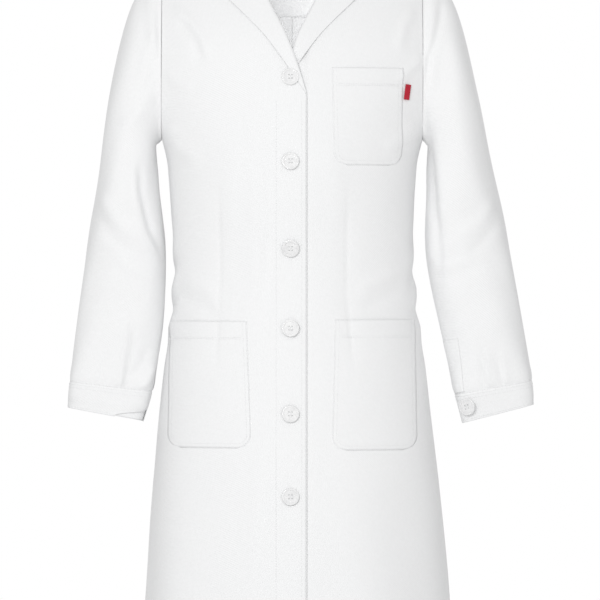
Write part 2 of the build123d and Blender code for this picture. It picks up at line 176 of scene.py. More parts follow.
def line_distance(points, line):
    """Distance from points (x, z) to a polyline, and how far along it they are, 0 to 1."""
    best = np.full(points.shape[:-1], 1e9)
    along = np.zeros(points.shape[:-1])
    lengths = np.linalg.norm(np.diff(line, axis=0), axis=1)
    total, done = lengths.sum(), 0.0
    for start, end, length in zip(line[:-1], line[1:], lengths):
        step = end - start
        t = np.clip(((points - start) @ step) / length**2, 0, 1)
        gap = np.linalg.norm(points - start - t[..., None] * step, axis=-1)
        closer = gap < best
        best = np.where(closer, gap, best)
        along = np.where(closer, (done + t * length) / total, along)
        done += length
    return best, along


def crease(points, line, height, width):
    """A fold along a line seen from the front, fading out at both ends."""
    gap, along = line_distance(points, np.array(line, float))
    return height * bell(gap, width) * smooth(0, 0.25, along) * smooth(1, 0.75, along)


# Folds of the front, as seen from the front: points (x, z), height and width in millimetres
FRONT_FOLDS = [
    ([(-166, -78), (-138, -104), (-121, -130), (-108, -165)], 3.0, 7),
    ([(-158, -98), (-132, -128), (-118, -168)], -2.2, 9),
    ([(-172, -170), (-150, -190), (-128, -196)], 1.8, 9),
    ([(178, -150), (160, -168), (140, -186)], 2.4, 6),
    ([(166, -82), (150, -112), (141, -150)], 2.2, 8),
    ([(172, -240), (150, -262), (120, -280)], 2.0, 10),
    ([(-172, -240), (-150, -275), (-118, -300)], 2.4, 12),
    ([(-33, -380), (-34, -432), (-41, -470), (-56, -520)], -1.8, 9),
    ([(-50, -150), (-51, -300), (-47, -450), (-54, -600)], 2.0, 13),
    ([(-26, -190), (-28, -320), (-30, -450), (-38, -560)], -1.4, 9),
    ([(-36, -620), (-44, -760), (-60, -960)], 1.6, 15),
    ([(-150, -452), (-118, -462), (-92, -484)], 2.2, 9),
    ([(-156, -474), (-122, -488), (-98, -505)], -1.8, 8),
    ([(148, -440), (118, -452), (84, -470)], 1.8, 9),
    ([(152, -462), (122, -478), (92, -492)], -1.5, 8),
    ([(44, -250), (60, -330), (66, -400)], 1.3, 16),
    ([(-70, -250), (-84, -330), (-92, -400)], 1.5, 16),
]
DARTS = [[(-98, -300), (-97, -470), (-103, -590)], [(76, -310), (73, -470), (84, -590)]]


def torso_folds(base, z, phi):
    """Height of the torso's folds over its smooth shape."""
    front = smooth(0.1, 0.45, np.cos(phi))
    back = smooth(0.1, 0.45, -np.cos(phi))
    side = 1 - front - back
    low = smooth(-520, -1000, z)
    near_edge = 1 - 0.75 * bell(base[..., 0] - LAP, 45) * front
    wave = np.sin(5 * phi + 0.7 + z / 900) + 0.6 * np.sin(9 * phi - 1.1 + z / 600)
    flute = low * near_edge * (3.6 * front + 7.0 * back + 5.0 * side) * wave * 0.62
    soft = 0.8 * np.sin(3.1 * phi + z / 71 + 1.3) * np.sin(z / 113 + 2.1 * phi)
    soft += 0.5 * np.sin(7.3 * phi - z / 47) * np.sin(z / 61 + 0.4)
    waist = bell(z + 470, 60) * side * 2.4 * np.sin(z / 8.5 + 3 * np.sin(2 * phi))
    waist += bell(z + 455, 70) * back * 2.6 * np.sin(z / 10.5 + 2.2 * np.cos(3 * phi))
    blades = 2.0 * bell(z + 190, 90) * back * np.sin(4.2 * phi + z / 60)
    total = flute + soft * (0.7 + 0.6 * back) + waist + blades
    seen = base[..., [0, 2]]
    marks = np.zeros(z.shape)
    for line, height, width in FRONT_FOLDS:
        marks += crease(seen, line, height, width)
    for line in DARTS:
        marks += crease(seen, line, -1.5, 2.2) + crease(seen, line, -1.2, 14)
    centre_back = bell(base[..., 0], 1.8) * smooth(VENT_TOP, VENT_TOP + 15, z)
    seam = -0.9 * centre_back * back - 0.9 * bell(np.cos(phi) * half_depth(z), 1.8)
    seam *= smooth(-6, -60, z)
    return total * smooth(-14, -120, z) + marks * front + seam


def torso(z, phi, lift=0.0):
    """A point of the torso's cloth, lift millimetres outside its outer face."""
    z, phi = np.broadcast_arrays(np.asarray(z, float), np.asarray(phi, float))
    base = ellipse_point(z, phi)
    step_phi = ellipse_point(z, phi + 1e-3) - ellipse_point(z, phi - 1e-3)
    step_z = ellipse_point(z + 0.5, phi) - ellipse_point(z - 0.5, phi)
    normal = np.cross(step_phi, step_z)
    normal /= np.linalg.norm(normal, axis=-1, keepdims=True)
    return base + normal * (torso_folds(base, z, phi) + lift)[..., None]


def phi_of(x, z):
    """The angle of a front point seen at x."""
    return np.arcsin(np.clip((np.asarray(x, float) - lean(z)) / half_width(z), -1, 1))


def side_phi(z):
    """The angle of the side seam, or of the armhole where the sleeve is set in."""
    z = np.asarray(z, float)
    inside = (z > ARMHOLE_FOOT) & (half_width(z) > ARMHOLE_X)
    return np.where(inside, np.arcsin(np.clip(ARMHOLE_X / half_width(z), -1, 1)), math.pi / 2)


def spaced_heights(low, high, step):
    """Heights between low and high about a step apart along the torso's side."""
    dense = np.linspace(low, high, 2000)
    steps = np.hypot(np.diff(dense), 0.6 * np.diff(half_width(dense)))
    run = np.concatenate([[0], np.cumsum(steps)])
    count = max(2, int(run[-1] / step) + 1)
    return np.interp(np.linspace(0, run[-1], count), run, dense)


# ---------------------------------------------------------------- meshes

def mesh_piece(name, vertices, faces):
    """A smooth mesh object from vertices in millimetres."""
    mesh = bpy.data.meshes.new(name)
    mesh.from_pydata((np.array(vertices) * MM).tolist(), [], faces)
    mesh.update()
    mesh.shade_smooth()
    piece = bpy.data.objects.new(name, mesh)
    bpy.context.scene.collection.objects.link(piece)
    return piece


def grid(name, points, closed=False):
    """A mesh object from a grid of points in millimetres."""
    rows, columns = points.shape[:2]
    index = np.arange(rows * columns).reshape(rows, columns)
    if closed:
        index = np.concatenate([index, index[:, :1]], 1)
    quads = np.stack([index[:-1, :-1], index[:-1, 1:], index[1:, 1:], index[1:, :-1]], -1)
    return mesh_piece(name, points.reshape(-1, 3), quads.reshape(-1, 4).tolist())


def thicken(piece, thickness=CLOTH):
    """Gives a sheet its thickness, inside the face that it was drawn as."""
    modifier = piece.modifiers.new("thickness", "SOLIDIFY")
    modifier.thickness = thickness * MM
    modifier.offset = -1
    modifier.use_even_offset = False
    return modifier


def faces_out(piece, inside):
    """Turns the faces so that their normals point away from a point inside, in millimetres."""
    mesh = piece.data
    face = mesh.polygons[len(mesh.polygons) // 2]
    if (face.center - Vector([v * MM for v in inside])).dot(face.normal) < 0:
        mesh.flip_normals()
    return piece


def stitches(name, lines, length=2.6, spacing=3.3, width=0.55, height=0.3):
    """Rows of topstitching: one long thin bead for each stitch along lines of points."""
    vertices, faces = [], []
    for line in lines:
        line = np.asarray(line, float)
        steps = np.linalg.norm(np.diff(line, axis=0), axis=1)
        run = np.concatenate([[0], np.cumsum(steps)])
        starts = np.arange(spacing / 2, run[-1] - length, spacing)
        for start in starts:
            ends = [start, start + length * 0.5, start + length]
            a, b, c = (np.array([np.interp(s, run, line[:, k]) for k in range(3)]) for s in ends)
            along = (c - a) / max(np.linalg.norm(c - a), 1e-6)
            up = b - np.array([0.0, BODY_MIDDLE_Y, b[2]])
            up -= along * (up @ along)
            up /= max(np.linalg.norm(up), 1e-6)
            across = np.cross(along, up)
            first = len(vertices)
            ring = [b + across * width / 2, b + up * height,
                    b - across * width / 2, b - up * height]
            vertices += [a - up * 0.1, *ring, c - up * 0.1]
            for k in range(4):
                faces.append((first, first + 1 + (k + 1) % 4, first + 1 + k))
                faces.append((first + 5, first + 1 + k, first + 1 + (k + 1) % 4))
    piece = mesh_piece(name, vertices, faces)
    piece.data.materials.append(THREAD)
    return piece


# ---------------------------------------------------------------- materials

def node_tree(name):
    """A new material with its node tree and its shader."""
    material = bpy.data.materials.new(name)
    material.use_nodes = True
    tree = material.node_tree
    return material, tree, tree.nodes["Principled BSDF"]


def add_node(tree, kind, **values):
    """A new shader node with the values of its inputs, _ in a name standing for a space."""
    node = tree.nodes.new("ShaderNode" + kind)
    for name, value in values.items():
        node.inputs[name.replace("_", " ")].default_value = value
    return node


def add_noise(tree, place, **values):
    """A noise texture in the object's own coordinates."""
    noise = add_node(tree, "TexNoise", **values)
    tree.links.new(place.outputs["Object"], noise.inputs["Vector"])
    return noise


def add_ramp(tree, factor, low, high):
    """A colour ramp between two positions and colours, as the shader's base colour."""
    ramp = tree.nodes.new("ShaderNodeValToRGB")
    for element, (position, colour) in zip(ramp.color_ramp.elements, (low, high)):
        element.position = position
        element.color = [*colour, 1]
    tree.links.new(factor, ramp.inputs["Fac"])
    tree.links.new(ramp.outputs["Color"], tree.nodes["Principled BSDF"].inputs["Base Color"])


def cloth_material(name, colour, weave=1.0, roughness=0.86, tint=0.025):
    """Fine twill: crossing bands of yarn over slow unevenness of the cloth."""
    material, tree, shader = node_tree(name)
    place = tree.nodes.new("ShaderNodeTexCoord")
    yarn = tree.nodes.new("ShaderNodeMath")
    yarn.operation = "ADD"
    bands = (((1.0, 1.0, 1.35), 1500), ((1.0, 1.0, -0.62), 2100))
    for index, (direction, scale) in enumerate(bands):
        turn = tree.nodes.new("ShaderNodeVectorMath")
        turn.operation = "DOT_PRODUCT"
        turn.inputs[1].default_value = [v * scale for v in direction]
        tree.links.new(place.outputs["Object"], turn.inputs[0])
        wave = tree.nodes.new("ShaderNodeMath")
        wave.operation = "SINE"
        tree.links.new(turn.outputs["Value"], wave.inputs[0])
        tree.links.new(wave.outputs[0], yarn.inputs[index])
    slub = add_noise(tree, place, Scale=260, Detail=3)
    rumple = add_noise(tree, place, Scale=26, Detail=4, Distortion=0.6)
    normal = None
    for height, strength, distance in ((yarn.outputs[0], 0.35 * weave, 0.00012),
                                       (slub.outputs["Fac"], 0.3 * weave, 0.00025),
                                       (rumple.outputs["Fac"], 0.5, 0.0012)):
        bump = add_node(tree, "Bump", Strength=strength, Distance=distance)
        tree.links.new(height, bump.inputs["Height"])
        if normal is not None:
            tree.links.new(normal, bump.inputs["Normal"])
        normal = bump.outputs["Normal"]
    tree.links.new(normal, shader.inputs["Normal"])
    add_ramp(tree, slub.outputs["Fac"], (0.25, [c * (1 - tint) for c in colour]), (0.75, colour))
    shader.inputs["Roughness"].default_value = roughness
    shader.inputs["Sheen Weight"].default_value = 0.15
    shader.inputs["Sheen Roughness"].default_value = 0.5
    shader.inputs["Specular IOR Level"].default_value = 0.25
    return material


def pearl_material():
    """Clear, slightly milky button plastic with faint clouds."""
    material, tree, shader = node_tree("pearl button")
    place = tree.nodes.new("ShaderNodeTexCoord")
    cloud = add_noise(tree, place, Scale=120, Detail=3, Distortion=1.5)
    add_ramp(tree, cloud.outputs["Fac"], (0.3, (0.84, 0.84, 0.845)), (0.7, (0.95, 0.95, 0.95)))
    shader.inputs["Roughness"].default_value = 0.16
    shader.inputs["IOR"].default_value = 1.56
    shader.inputs["Transmission Weight"].default_value = 0.08
    shader.inputs["Coat Weight"].default_value = 0.5
    shader.inputs["Coat Roughness"].default_value = 0.08
    return material


WHITE = (0.905, 0.908, 0.912)
COTTON = cloth_material("white twill", WHITE)
FACING = cloth_material("white facing", (0.9, 0.903, 0.908), weave=0.8)
THREAD = cloth_material("white thread", (0.88, 0.885, 0.89), weave=0.3, roughness=0.6)
TAPE = cloth_material("white tape", (0.82, 0.82, 0.82), weave=1.4)
RED = cloth_material("red ribbon", (0.55, 0.012, 0.035), weave=1.5, roughness=0.55, tint=0.25)
PEARL = pearl_material()


def dress(piece, material, body, slot, *nodes):
    """Gives a piece its material and its body, and hides the CAD nodes that it stands for; the slot
    is not used.
    """
    piece.data.materials.append(material)
    if body:
        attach(piece, body)
    if nodes:
        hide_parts(*nodes)
    return piece


# ---------------------------------------------------------------- fronts

def roll_x(z):
    """X of the right front's edge: straight up to the break, then along the roll line."""
    return np.interp(z, ROLL_LINE[:, 1], ROLL_LINE[:, 0])


panel_heights = np.unique(np.concatenate([
    spaced_heights(HEM, NECK, 5.0),
    np.linspace(-212, -198, 6),
]))
COLUMNS = 76


def panel(name, left_phi, right_phi, lift, heights=panel_heights, columns=COLUMNS):
    """A panel of the torso between two angles given for each height."""
    share = np.linspace(0, 1, columns)
    z = heights[:, None]
    phi = left_phi[:, None] + (right_phi - left_phi)[:, None] * share
    amount = lift(z, phi) if callable(lift) else lift
    return grid(name, torso(z, phi, amount))


def right_front_lift(z, phi):
    """The closure lies on the left front; its faced edge is a little thicker."""
    x = ellipse_point(z, phi)[..., 0]
    faced = 0.35 * smooth(-22.6, -21.2, x) * smooth(-190, -215, z)
    over_lapel = 2.2 * bell(x - roll_x(z), 22) * smooth(-215, -165, z) * smooth(-90, -135, z)
    over_lapel *= 1 - bell(np.hypot(x - BUTTON_X, z - BUTTON_HEIGHTS[0]), 15)
    pulled = sum(bell(np.hypot(x - BUTTON_X, z - height), 11) for height in BUTTON_HEIGHTS)
    return 0.5 * smooth(-60, -15, x) * smooth(-150, -200, z) + faced + over_lapel - 0.6 * pulled


def left_front_lift(z, phi):
    """The left front steps in under the right one."""
    x = ellipse_point(z, phi)[..., 0]
    return -2.1 * smooth(23.5, 17, x) - 1.2 * smooth(14, 2, x)


right_edge = phi_of(roll_x(panel_heights), panel_heights)
right_front = panel("right_front", -side_phi(panel_heights), right_edge, right_front_lift)
left_edge = phi_of(-roll_x(panel_heights), panel_heights)
left_front = panel("left_front", left_edge, side_phi(panel_heights), left_front_lift)

fold_along = np.array([-CORNER_FOLD_SLOPE, 0, -1.0])
fold_along /= np.linalg.norm(fold_along)


def blend_corner(piece):
    """Bakes the piece's place into its mesh; the lower corner is not turned about its fold."""
    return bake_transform(piece)


vent_along = np.array([VENT_FOLD_SLOPE, 0, -1.0])
vent_along /= np.linalg.norm(vent_along)


def blend_vent(piece):
    """Bakes the piece's place into its mesh; the vent's flap is not turned about its fold."""
    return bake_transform(piece)


middle = (0, BODY_MIDDLE_Y, -500)
for piece in (right_front, left_front):
    faces_out(piece, middle)
dress(right_front, COTTON, None, "coat_cloth", "front_right_panel", "front_right_corner")
thicken(right_front)
blend_corner(right_front)
dress(left_front, COTTON, "coat", "coat_cloth", "front_left_panel")
thicken(left_front)

# Facings inside both front edges
facing_heights = spaced_heights(HEM + 3, -52, 7.0)


def facing(name, edge_x, inner_x, lift):
    """A strip inside the front, between its edge and an inner line."""
    edge = phi_of(edge_x, facing_heights)
    inner = phi_of(inner_x, facing_heights)
    return panel(name, np.minimum(edge, inner), np.maximum(edge, inner), lift, facing_heights, 16)


right_facing = facing("right_facing", roll_x(facing_heights) - 0.6,
                      roll_x(facing_heights) - 62, lambda z, phi: right_front_lift(z, phi) - 1.0)
left_facing = facing("left_facing", -roll_x(facing_heights) + 0.6,
                     -roll_x(facing_heights) + 62, lambda z, phi: left_front_lift(z, phi) - 1.0)
for piece in (right_facing, left_facing):
    faces_out(piece, middle)
dress(right_facing, FACING, None, "facing_cloth", "front_right_facing", "front_right_corner_facing")
thicken(right_facing, FACING_CLOTH)
blend_corner(right_facing)
dress(left_facing, FACING, "coat", "facing_cloth", "front_left_facing")
thicken(left_facing, FACING_CLOTH)


# ---------------------------------------------------------------- back

vent_edge_x = np.where(panel_heights < VENT_TOP, -VENT_LAP, 0.0)
underlap_x = np.where(panel_heights < VENT_TOP, VENT_LAP, 0.0)


def back_phi(x, z):
    """The angle of a back point seen at x; the back runs from pi / 2 to 3 pi / 2."""
    return math.pi - phi_of(x, z)


left_back = panel("left_back", math.pi - side_phi(panel_heights),
                  back_phi(vent_edge_x, panel_heights), LEFT_BACK_LIFT)
right_back = panel("right_back", back_phi(underlap_x, panel_heights),
                   math.pi + side_phi(panel_heights),
                   lambda z, phi: -2.2 * smooth(28, 20, -ellipse_point(z, phi)[..., 0])
                   * smooth(VENT_TOP + 8, VENT_TOP - 12, z))
for piece in (left_back, right_back):
    faces_out(piece, middle)
dress(left_back, COTTON, None, "coat_cloth", "back_left_panel", "back_vent_flap")
thicken(left_back)
blend_vent(left_back)
dress(right_back, COTTON, "coat", "coat_cloth", "back_right_panel")
thicken(right_back)

neck_heights = np.linspace(-92, -10, 16)
neck_phi = math.pi + np.zeros(len(neck_heights))
neck_facing = panel("back_neck_facing_cloth", neck_phi - 0.95, neck_phi + 0.95, -1.2,
                    neck_heights, 32)
faces_out(neck_facing, middle)
dress(neck_facing, FACING, "coat", "facing_cloth", "back_neck_facing")
thicken(neck_facing, FACING_CLOTH)


# ---------------------------------------------------------------- lapels

# Points (x, z) of the left lapel, from the break up to the gorge
LAPEL_ROLL = np.array([(-20, -205), (-8, -165), (9, -120), (29, -80), (43, -50)], float)
LAPEL_EDGE = np.array([(-20, -205), (10.6, -160), (36, -126), (81, -80), (112, -49)], float)


def lapel(name, side):
    """A lapel turned back over the front: rolled at its inner edge and flat at its outer one."""
    rows, columns = 64, 44
    u = np.linspace(0, 1, rows)
    roll_s = np.array([0, 0.27, 0.55, 0.80, 1])
    roll = np.stack([hermite(roll_s, LAPEL_ROLL[:, k], False)(u) for k in (0, 1)], -1)
    edge_s = np.array([0, 0.27, 0.46, 0.76, 1])
    edge = np.stack([hermite(edge_s, LAPEL_EDGE[:, k], False)(u) for k in (0, 1)], -1)
    across = np.linspace(0, 1, columns) ** 1.3
    plan = roll[:, None] + (edge - roll)[:, None] * across[None, :, None]
    width = np.linalg.norm(edge - roll, axis=-1)[:, None]
    distance = width * across[None, :]
    rise = np.minimum(distance / 5.5, 1)
    full = 0.25 + 0.75 * smooth(0, 34, width)
    rolled = 4.4 * np.sqrt(1 - (1 - rise) ** 2) * full
    settle = 2.9 * smooth(4, 44, distance) * full
    lift = rolled - settle + 0.4 * np.sin(distance / 11 + 4 * u[:, None]) * smooth(8, 30, distance)
    x, z = plan[..., 0], plan[..., 1]
    if side == "right":
        x = -x
        lift = lift + right_front_lift(z, phi_of(x, z))
    else:
        lift = lift - 3.4 * smooth(9, 1, x - roll_x(z)) * smooth(-105, -140, z)
        lift = lift - 2.6 * smooth(24, 12, x) * smooth(-150, -175, z)
    return grid(name, torso(z, phi_of(x, z), lift + 0.6))


for side in ("right", "left"):
    piece = faces_out(lapel(f"{side}_lapel", side), middle)
    dress(piece, COTTON, "coat", "coat_cloth", f"lapel_{side}")
    thicken(piece)


# ---------------------------------------------------------------- collar

def shape_excess(points):
    """Zero on the torso's smooth surface and more outside it."""
    z = np.clip(points[..., 2], HEM, 40)
    over = np.maximum(z - NECK, 0)
    a = half_width(z) - 1.2 * over
    b = half_depth(z) - 0.6 * over
    return np.hypot(points[..., 0] / a, (points[..., 1] - centre_y(z)) / b) - 1


def push_out(points, lift):
    """Moves points that are less than lift outside the torso out to that distance."""
    for _ in range(6):
        here = shape_excess(points)
        slope = np.stack([(shape_excess(points + d) - here) for d in np.eye(3)], -1)
        size = np.linalg.norm(slope, axis=-1) + 1e-9
        short = np.clip(lift - here / size, 0, 12)
        points = points + slope / size[..., None] * short[..., None]
    return points


COLLAR_ROLL = np.array([         # from the centre back round the neck and down to the gorge
    (0, 13, 15), (36, 6, 14.5), (62, -16, 12), (74.5, -46, 6), (70, -74, -5), (58, -99, -24),
    (43.5, -121, -50)], float)
COLLAR_EDGE = np.array([         # the outer edge of the fall, to the collar's point
    (0, 27, -47), (46, 21, -45), (88, 2, -37), (112, -34, -26), (117, -66, -25), (112, -90, -31),
    (101, -106, -40)], float)


def collar():
    """One turned collar: the stand inside the neck, the roll, and the fall on the shoulders."""
    s = np.linspace(0, 1, 90)
    knots = np.array([0, 0.2, 0.38, 0.56, 0.72, 0.87, 1])
    roll = np.stack([hermite(knots, COLLAR_ROLL[:, k], False)(s) for k in range(3)], -1)
    edge = np.stack([hermite(knots, COLLAR_EDGE[:, k], False)(s) for k in range(3)], -1)
    front = smooth(0.45, 0.95, s)[:, None]
    out = roll * [1, 1, 0] - [0, NECK_MIDDLE, 0]
    out = out / np.linalg.norm(out, axis=-1, keepdims=True) * (1 - front)
    out = out + np.array([0.75, -0.6, 0.0]) * front
    up = np.array([0, 0, 1.0])
    foot = roll - out * (1.5 + 1.5 * front) - up * (27 * (1 - front) + 2)
    inner = roll - out * 1.6 - up * (4 - 2 * front)
    outer = roll + out * (3.2 - 1.2 * front) - up * 2.6 * (1 - 0.6 * front)
    notch = np.array([87, -113, -51.5])
    late = roll + (edge - roll) * 0.72
    late = late + smooth(0.72, 1, s)[:, None] ** 1.5 * (notch - late)
    controls = np.stack([foot, inner, roll, outer, late, edge], 1)
    at = np.array([0, 0.24, 0.3, 0.37, 0.78, 1.0])
    v = np.concatenate([np.linspace(0, 0.24, 9)[:-1], np.linspace(0.24, 0.42, 15)[:-1],
                        np.linspace(0.42, 1, 34)])
    rows = []
    for line in controls:
        rows.append(np.stack([hermite(at, line[:, k])(v) for k in range(3)], -1))
    half = np.stack(rows, 0)
    outside = (v > 0.36)[None, :, None]
    lift = 3.4 - 0.9 * smooth(0.7, 1, v)[None] + 0.3 * np.sin(9 * s)[:, None]
    half = np.where(outside, push_out(half, lift), half)
    mirror = half[::-1].copy()
    mirror[..., 0] *= -1
    return grid("collar", np.concatenate([mirror[:-1], half], 0))


collar_piece = collar()
dress(collar_piece, COTTON, "coat", "coat_cloth", "upper_collar", "under_collar", "collar_stand")
thicken(collar_piece, 1.2)


# ---------------------------------------------------------------- sleeves

AROUND = 96
SPLIT_U = 3.45                   # where the upper sleeve's piece ends and the lower one starts
CUFF_U = 6.0
theta = np.linspace(0, TAU, AROUND, endpoint=False)


def armhole_curve(side):
    """The torso's cut edge at the armhole, at each angle of the sleeve's first ring."""
    z = np.linspace(ARMHOLE_FOOT, -36, 900)
    z = z[half_width(z) > ARMHOLE_X]
    phi = np.arcsin(np.clip(ARMHOLE_X / half_width(z), -1, 1))
    sign = OUTWARD[side]
    front = torso(z, sign * phi, 0.5)
    rear = torso(z, math.pi - sign * phi, 0.5)
    loop = np.concatenate([front, rear[::-1]])
    centre = np.array([0, -58, -150.0])
    angle = np.arctan2(loop[:, 1] - centre[1], loop[:, 2] - centre[2]) % TAU
    order = np.argsort(angle)
    reach = np.hypot(loop[:, 1] - centre[1], loop[:, 2] - centre[2])
    full = np.concatenate([angle[order] - TAU, angle[order], angle[order] + TAU])
    wide = np.tile(reach[order], 3)
    radius = np.interp(theta, full, wide)
    return np.stack([np.full(AROUND, sign * (ARMHOLE_X + 0.3)),
                     centre[1] + radius * np.sin(theta), centre[2] + radius * np.cos(theta)], -1)


# Folds of each sleeve's front, in the same form as the torso's
SLEEVE_FOLDS = {
    "right": [
        ([(-204, -280), (-202, -335), (-189, -386), (-174, -414), (-167, -440)], -4.5, 6),
        ([(-214, -290), (-212, -340), (-198, -395), (-182, -425)], 3.0, 8),
        ([(-180, -110), (-196, -150), (-204, -205)], 2.2, 8),
        ([(-184, -190), (-208, -228), (-232, -250)], 2.4, 9),
        ([(-262, -330), (-236, -372), (-204, -398)], 2.6, 9),
        ([(-266, -360), (-240, -398), (-212, -418)], -2.2, 8),
        ([(-178, -452), (-206, -440), (-238, -424)], 2.4, 8),
        ([(-213, -490), (-218, -535), (-224, -575), (-233, -650)], -4.2, 2.5),
        ([(-218, -494), (-223, -537), (-229, -577), (-238, -650)], 2.4, 4.5),
        ([(-186, -560), (-196, -588), (-214, -612)], 3.2, 5),
        ([(-190, -536), (-202, -566), (-222, -590)], -1.8, 6),
        ([(-252, -545), (-256, -575), (-264, -640)], -1.5, 4),
    ],
    "left": [
        ([(203, -60), (198, -106), (191, -133), (184, -156), (181, -200)], -3.0, 5),
        ([(180, -205), (180, -240), (186, -293), (190, -335), (198, -420), (200, -479)], -4.0, 5.5),
        ([(192, -215), (194, -260), (200, -320), (208, -400)], 2.6, 8),
        ([(214, -110), (222, -170), (226, -230)], 1.8, 12),
        ([(276, -340), (250, -376), (222, -396)], 2.4, 9),
        ([(282, -366), (256, -402), (232, -420)], -2.0, 8),
        ([(190, -440), (216, -434), (248, -420)], 2.2, 8),
        ([(255, -530), (257, -575), (264, -650)], -2.4, 2.8),
        ([(261, -530), (264, -575), (271, -650)], 1.6, 4.5),
        ([(275, -535), (280, -575), (288, -650)], -2.2, 2.8),
        ([(282, -538), (287, -575), (295, -650)], 1.4, 4.5),
    ],
}


def sleeve_section(side, u):
    """The sleeve's outer and inner points and its half depth at stations u."""
    at = [hermite(np.arange(8.0), SLEEVES[side][:, k], False)(u) for k in range(6)]
    return np.stack([at[0], at[5], at[1]], -1), np.stack([at[2], at[5], at[3]], -1), at[4]


def station_point(side, u):
    """The middle of the sleeve at a station."""
    outer, inner, _ = sleeve_section(side, u)
    return (outer + inner) / 2


def sleeve_surface(side, u, lift=0.0, angles=theta):
    """Rings of the sleeve at stations u, 0 at the armhole and 7 at the cuff's edge."""
    around = np.broadcast_to(angles, (len(u), angles.shape[-1]))
    outer, inner, half_thick = sleeve_section(side, u)
    centre = (outer + inner) / 2
    across = (outer - inner) / 2
    width = np.linalg.norm(across, axis=-1)
    direction = across / width[:, None]
    c, s = np.cos(around), np.sin(around)
    # The section is nearly an ellipse on the arm and squarer at the cuff
    squareness = (2.17 + 1.5 * smooth(5.2, 6.2, u))[:, None]
    rounding = (np.abs(c) ** squareness + np.abs(s) ** squareness) ** (1 / squareness)
    shape_c, shape_s = c / rounding, s / rounding
    points = centre[:, None] + direction[:, None] * ((width[:, None] + lift) * shape_c)[..., None]
    points[..., 1] += (half_thick[:, None] + lift) * shape_s
    fade = (1 - smooth(0, 1.3, u))[:, None, None]
    if u[0] == 0:
        points += (armhole_curve(side) - points[0]) * fade
    total = 5.5 * bell(u - 0.32, 0.26)[:, None] * smooth(-0.2, 0.7, c)
    normal = direction[:, None] * c[..., None] + np.array([0, 1, 0]) * s[..., None]
    front = smooth(0.15, 0.6, -s)
    rear = smooth(0.15, 0.6, s)
    seen = points[..., [0, 2]]
    above_cuff = smooth(CUFF_U, CUFF_U - 0.07, u)[:, None]
    for line, height, fold_width in SLEEVE_FOLDS[side]:
        total = total + crease(seen, line, height, fold_width) * front * above_cuff
    sign = OUTWARD[side]
    v = u[:, None]
    elbow = bell(v - 4.1, 0.85)
    total = total + elbow * rear * 2.8 * np.sin(9.0 * v + 1.4 * np.sin(around * 2) + sign)
    total = total + elbow * front * 0.9 * np.sin(10.0 * v + 1.1 * sign * np.cos(around))
    upper = bell(v - 2.0, 0.9)
    total = total + upper * rear * 2.4 * np.sin(5.2 * around + 2.4 * v + sign)
    slow = 0.9 * np.sin(3 * around + 2.0 * v + sign)
    total = total + slow * smooth(0.2, 1.0, v) * smooth(6.9, 5.5, v)
    quick = 0.5 * np.sin(7 * around - 3.1 * v)
    total = total + quick * smooth(0.3, 1.0, v) * smooth(6.5, 5.5, v)
    seam = -0.8 * bell((around - math.pi) * 50, 2.2) * smooth(0.1, 0.4, v)
    blouse = 0.7 * bell(v - 5.86, 0.10) - 0.7 * bell(v - 6.0, 0.03)
    total = (total + seam) * smooth(0, 0.25, v) + blouse
    return points + normal * total[..., None]


sleeve_u = np.concatenate([
    np.linspace(0, 1, 26)[:-1], np.linspace(1, SPLIT_U, 66)[:-1],
    np.linspace(SPLIT_U, CUFF_U, 70)])
split_row = int(np.argmin(np.abs(sleeve_u - SPLIT_U)))


def blend_shoulder(piece, side):
    """Bakes the piece's place into its mesh; the sleeve is not raised."""
    across = np.array([OUTWARD[side], 0, -0.2])
    across /= np.linalg.norm(across)
    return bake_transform(piece)


def blend_elbow(piece, side):
    """Bakes the piece's place into its mesh; the sleeve is not bent at the elbow."""
    elbow = station_point(side, 4.0)
    along = station_point(side, 5.0) - station_point(side, 3.5)
    along[1] = 0
    along /= np.linalg.norm(along)
    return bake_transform(piece)


cuff_cut = {"right": CUFF_CUT, "left": 0}
for side in ("right", "left"):
    surface = sleeve_surface(side, sleeve_u)
    top = faces_out(grid(f"{side}_sleeve_top", surface[:split_row + 1], True),
                    station_point(side, 1.7))
    dress(top, COTTON, None, "coat_cloth", f"sleeve_{side}_upper")
    thicken(top).use_rim = False
    blend_shoulder(top, side)
    low = faces_out(grid(f"{side}_sleeve_low", surface[split_row:], True),
                    station_point(side, 4.7))
    dress(low, COTTON, None, "coat_cloth", f"sleeve_{side}_forearm")
    thicken(low).use_rim = False
    blend_elbow(low, side)

    # The cuff: a whole inner band and an outer one whose end shows at the wrist
    inner_band = sleeve_surface(side, np.linspace(6.02, 6.97, 16), -1.7)
    band = faces_out(grid(f"{side}_cuff_inner", inner_band, True), station_point(side, 6.5))
    dress(band, FACING, f"{side}_forearm", "facing_cloth", f"cuff_{side}_facing")
    thicken(band, 0.8)
    cuff_u = np.linspace(CUFF_U, 7.0, 30)
    end = math.pi + math.radians(cuff_cut[side]) * smooth(6.35, 7.0, cuff_u) ** 0.8 + 0.02
    turn = end[:, None] + (TAU + math.pi - 0.02 - end)[:, None] * np.linspace(0, 1, 110)[None]
    outer_band = sleeve_surface(side, cuff_u, 0.25, turn)
    cuff = faces_out(grid(f"{side}_cuff", outer_band), station_point(side, 6.5))
    dress(cuff, COTTON, f"{side}_forearm", "coat_cloth", f"cuff_{side}")
    thicken(cuff, 1.3)

    # The bound slit above the cuff, on the side where the button is
    strip_u = np.linspace(5.22, 5.985, 36)
    strip_turn = math.pi + OUTWARD[side] * np.linspace(0.17, 0.86, 12)[None]
    strip = faces_out(grid(f"{side}_slit_binding", sleeve_surface(side, strip_u, 0.7, strip_turn)),
                      station_point(side, 5.6))
    dress(strip, COTTON, None, "coat_cloth", f"sleeve_{side}_placket")
    thicken(strip, 0.6)
    blend_elbow(strip, side)


# ---------------------------------------------------------------- pockets

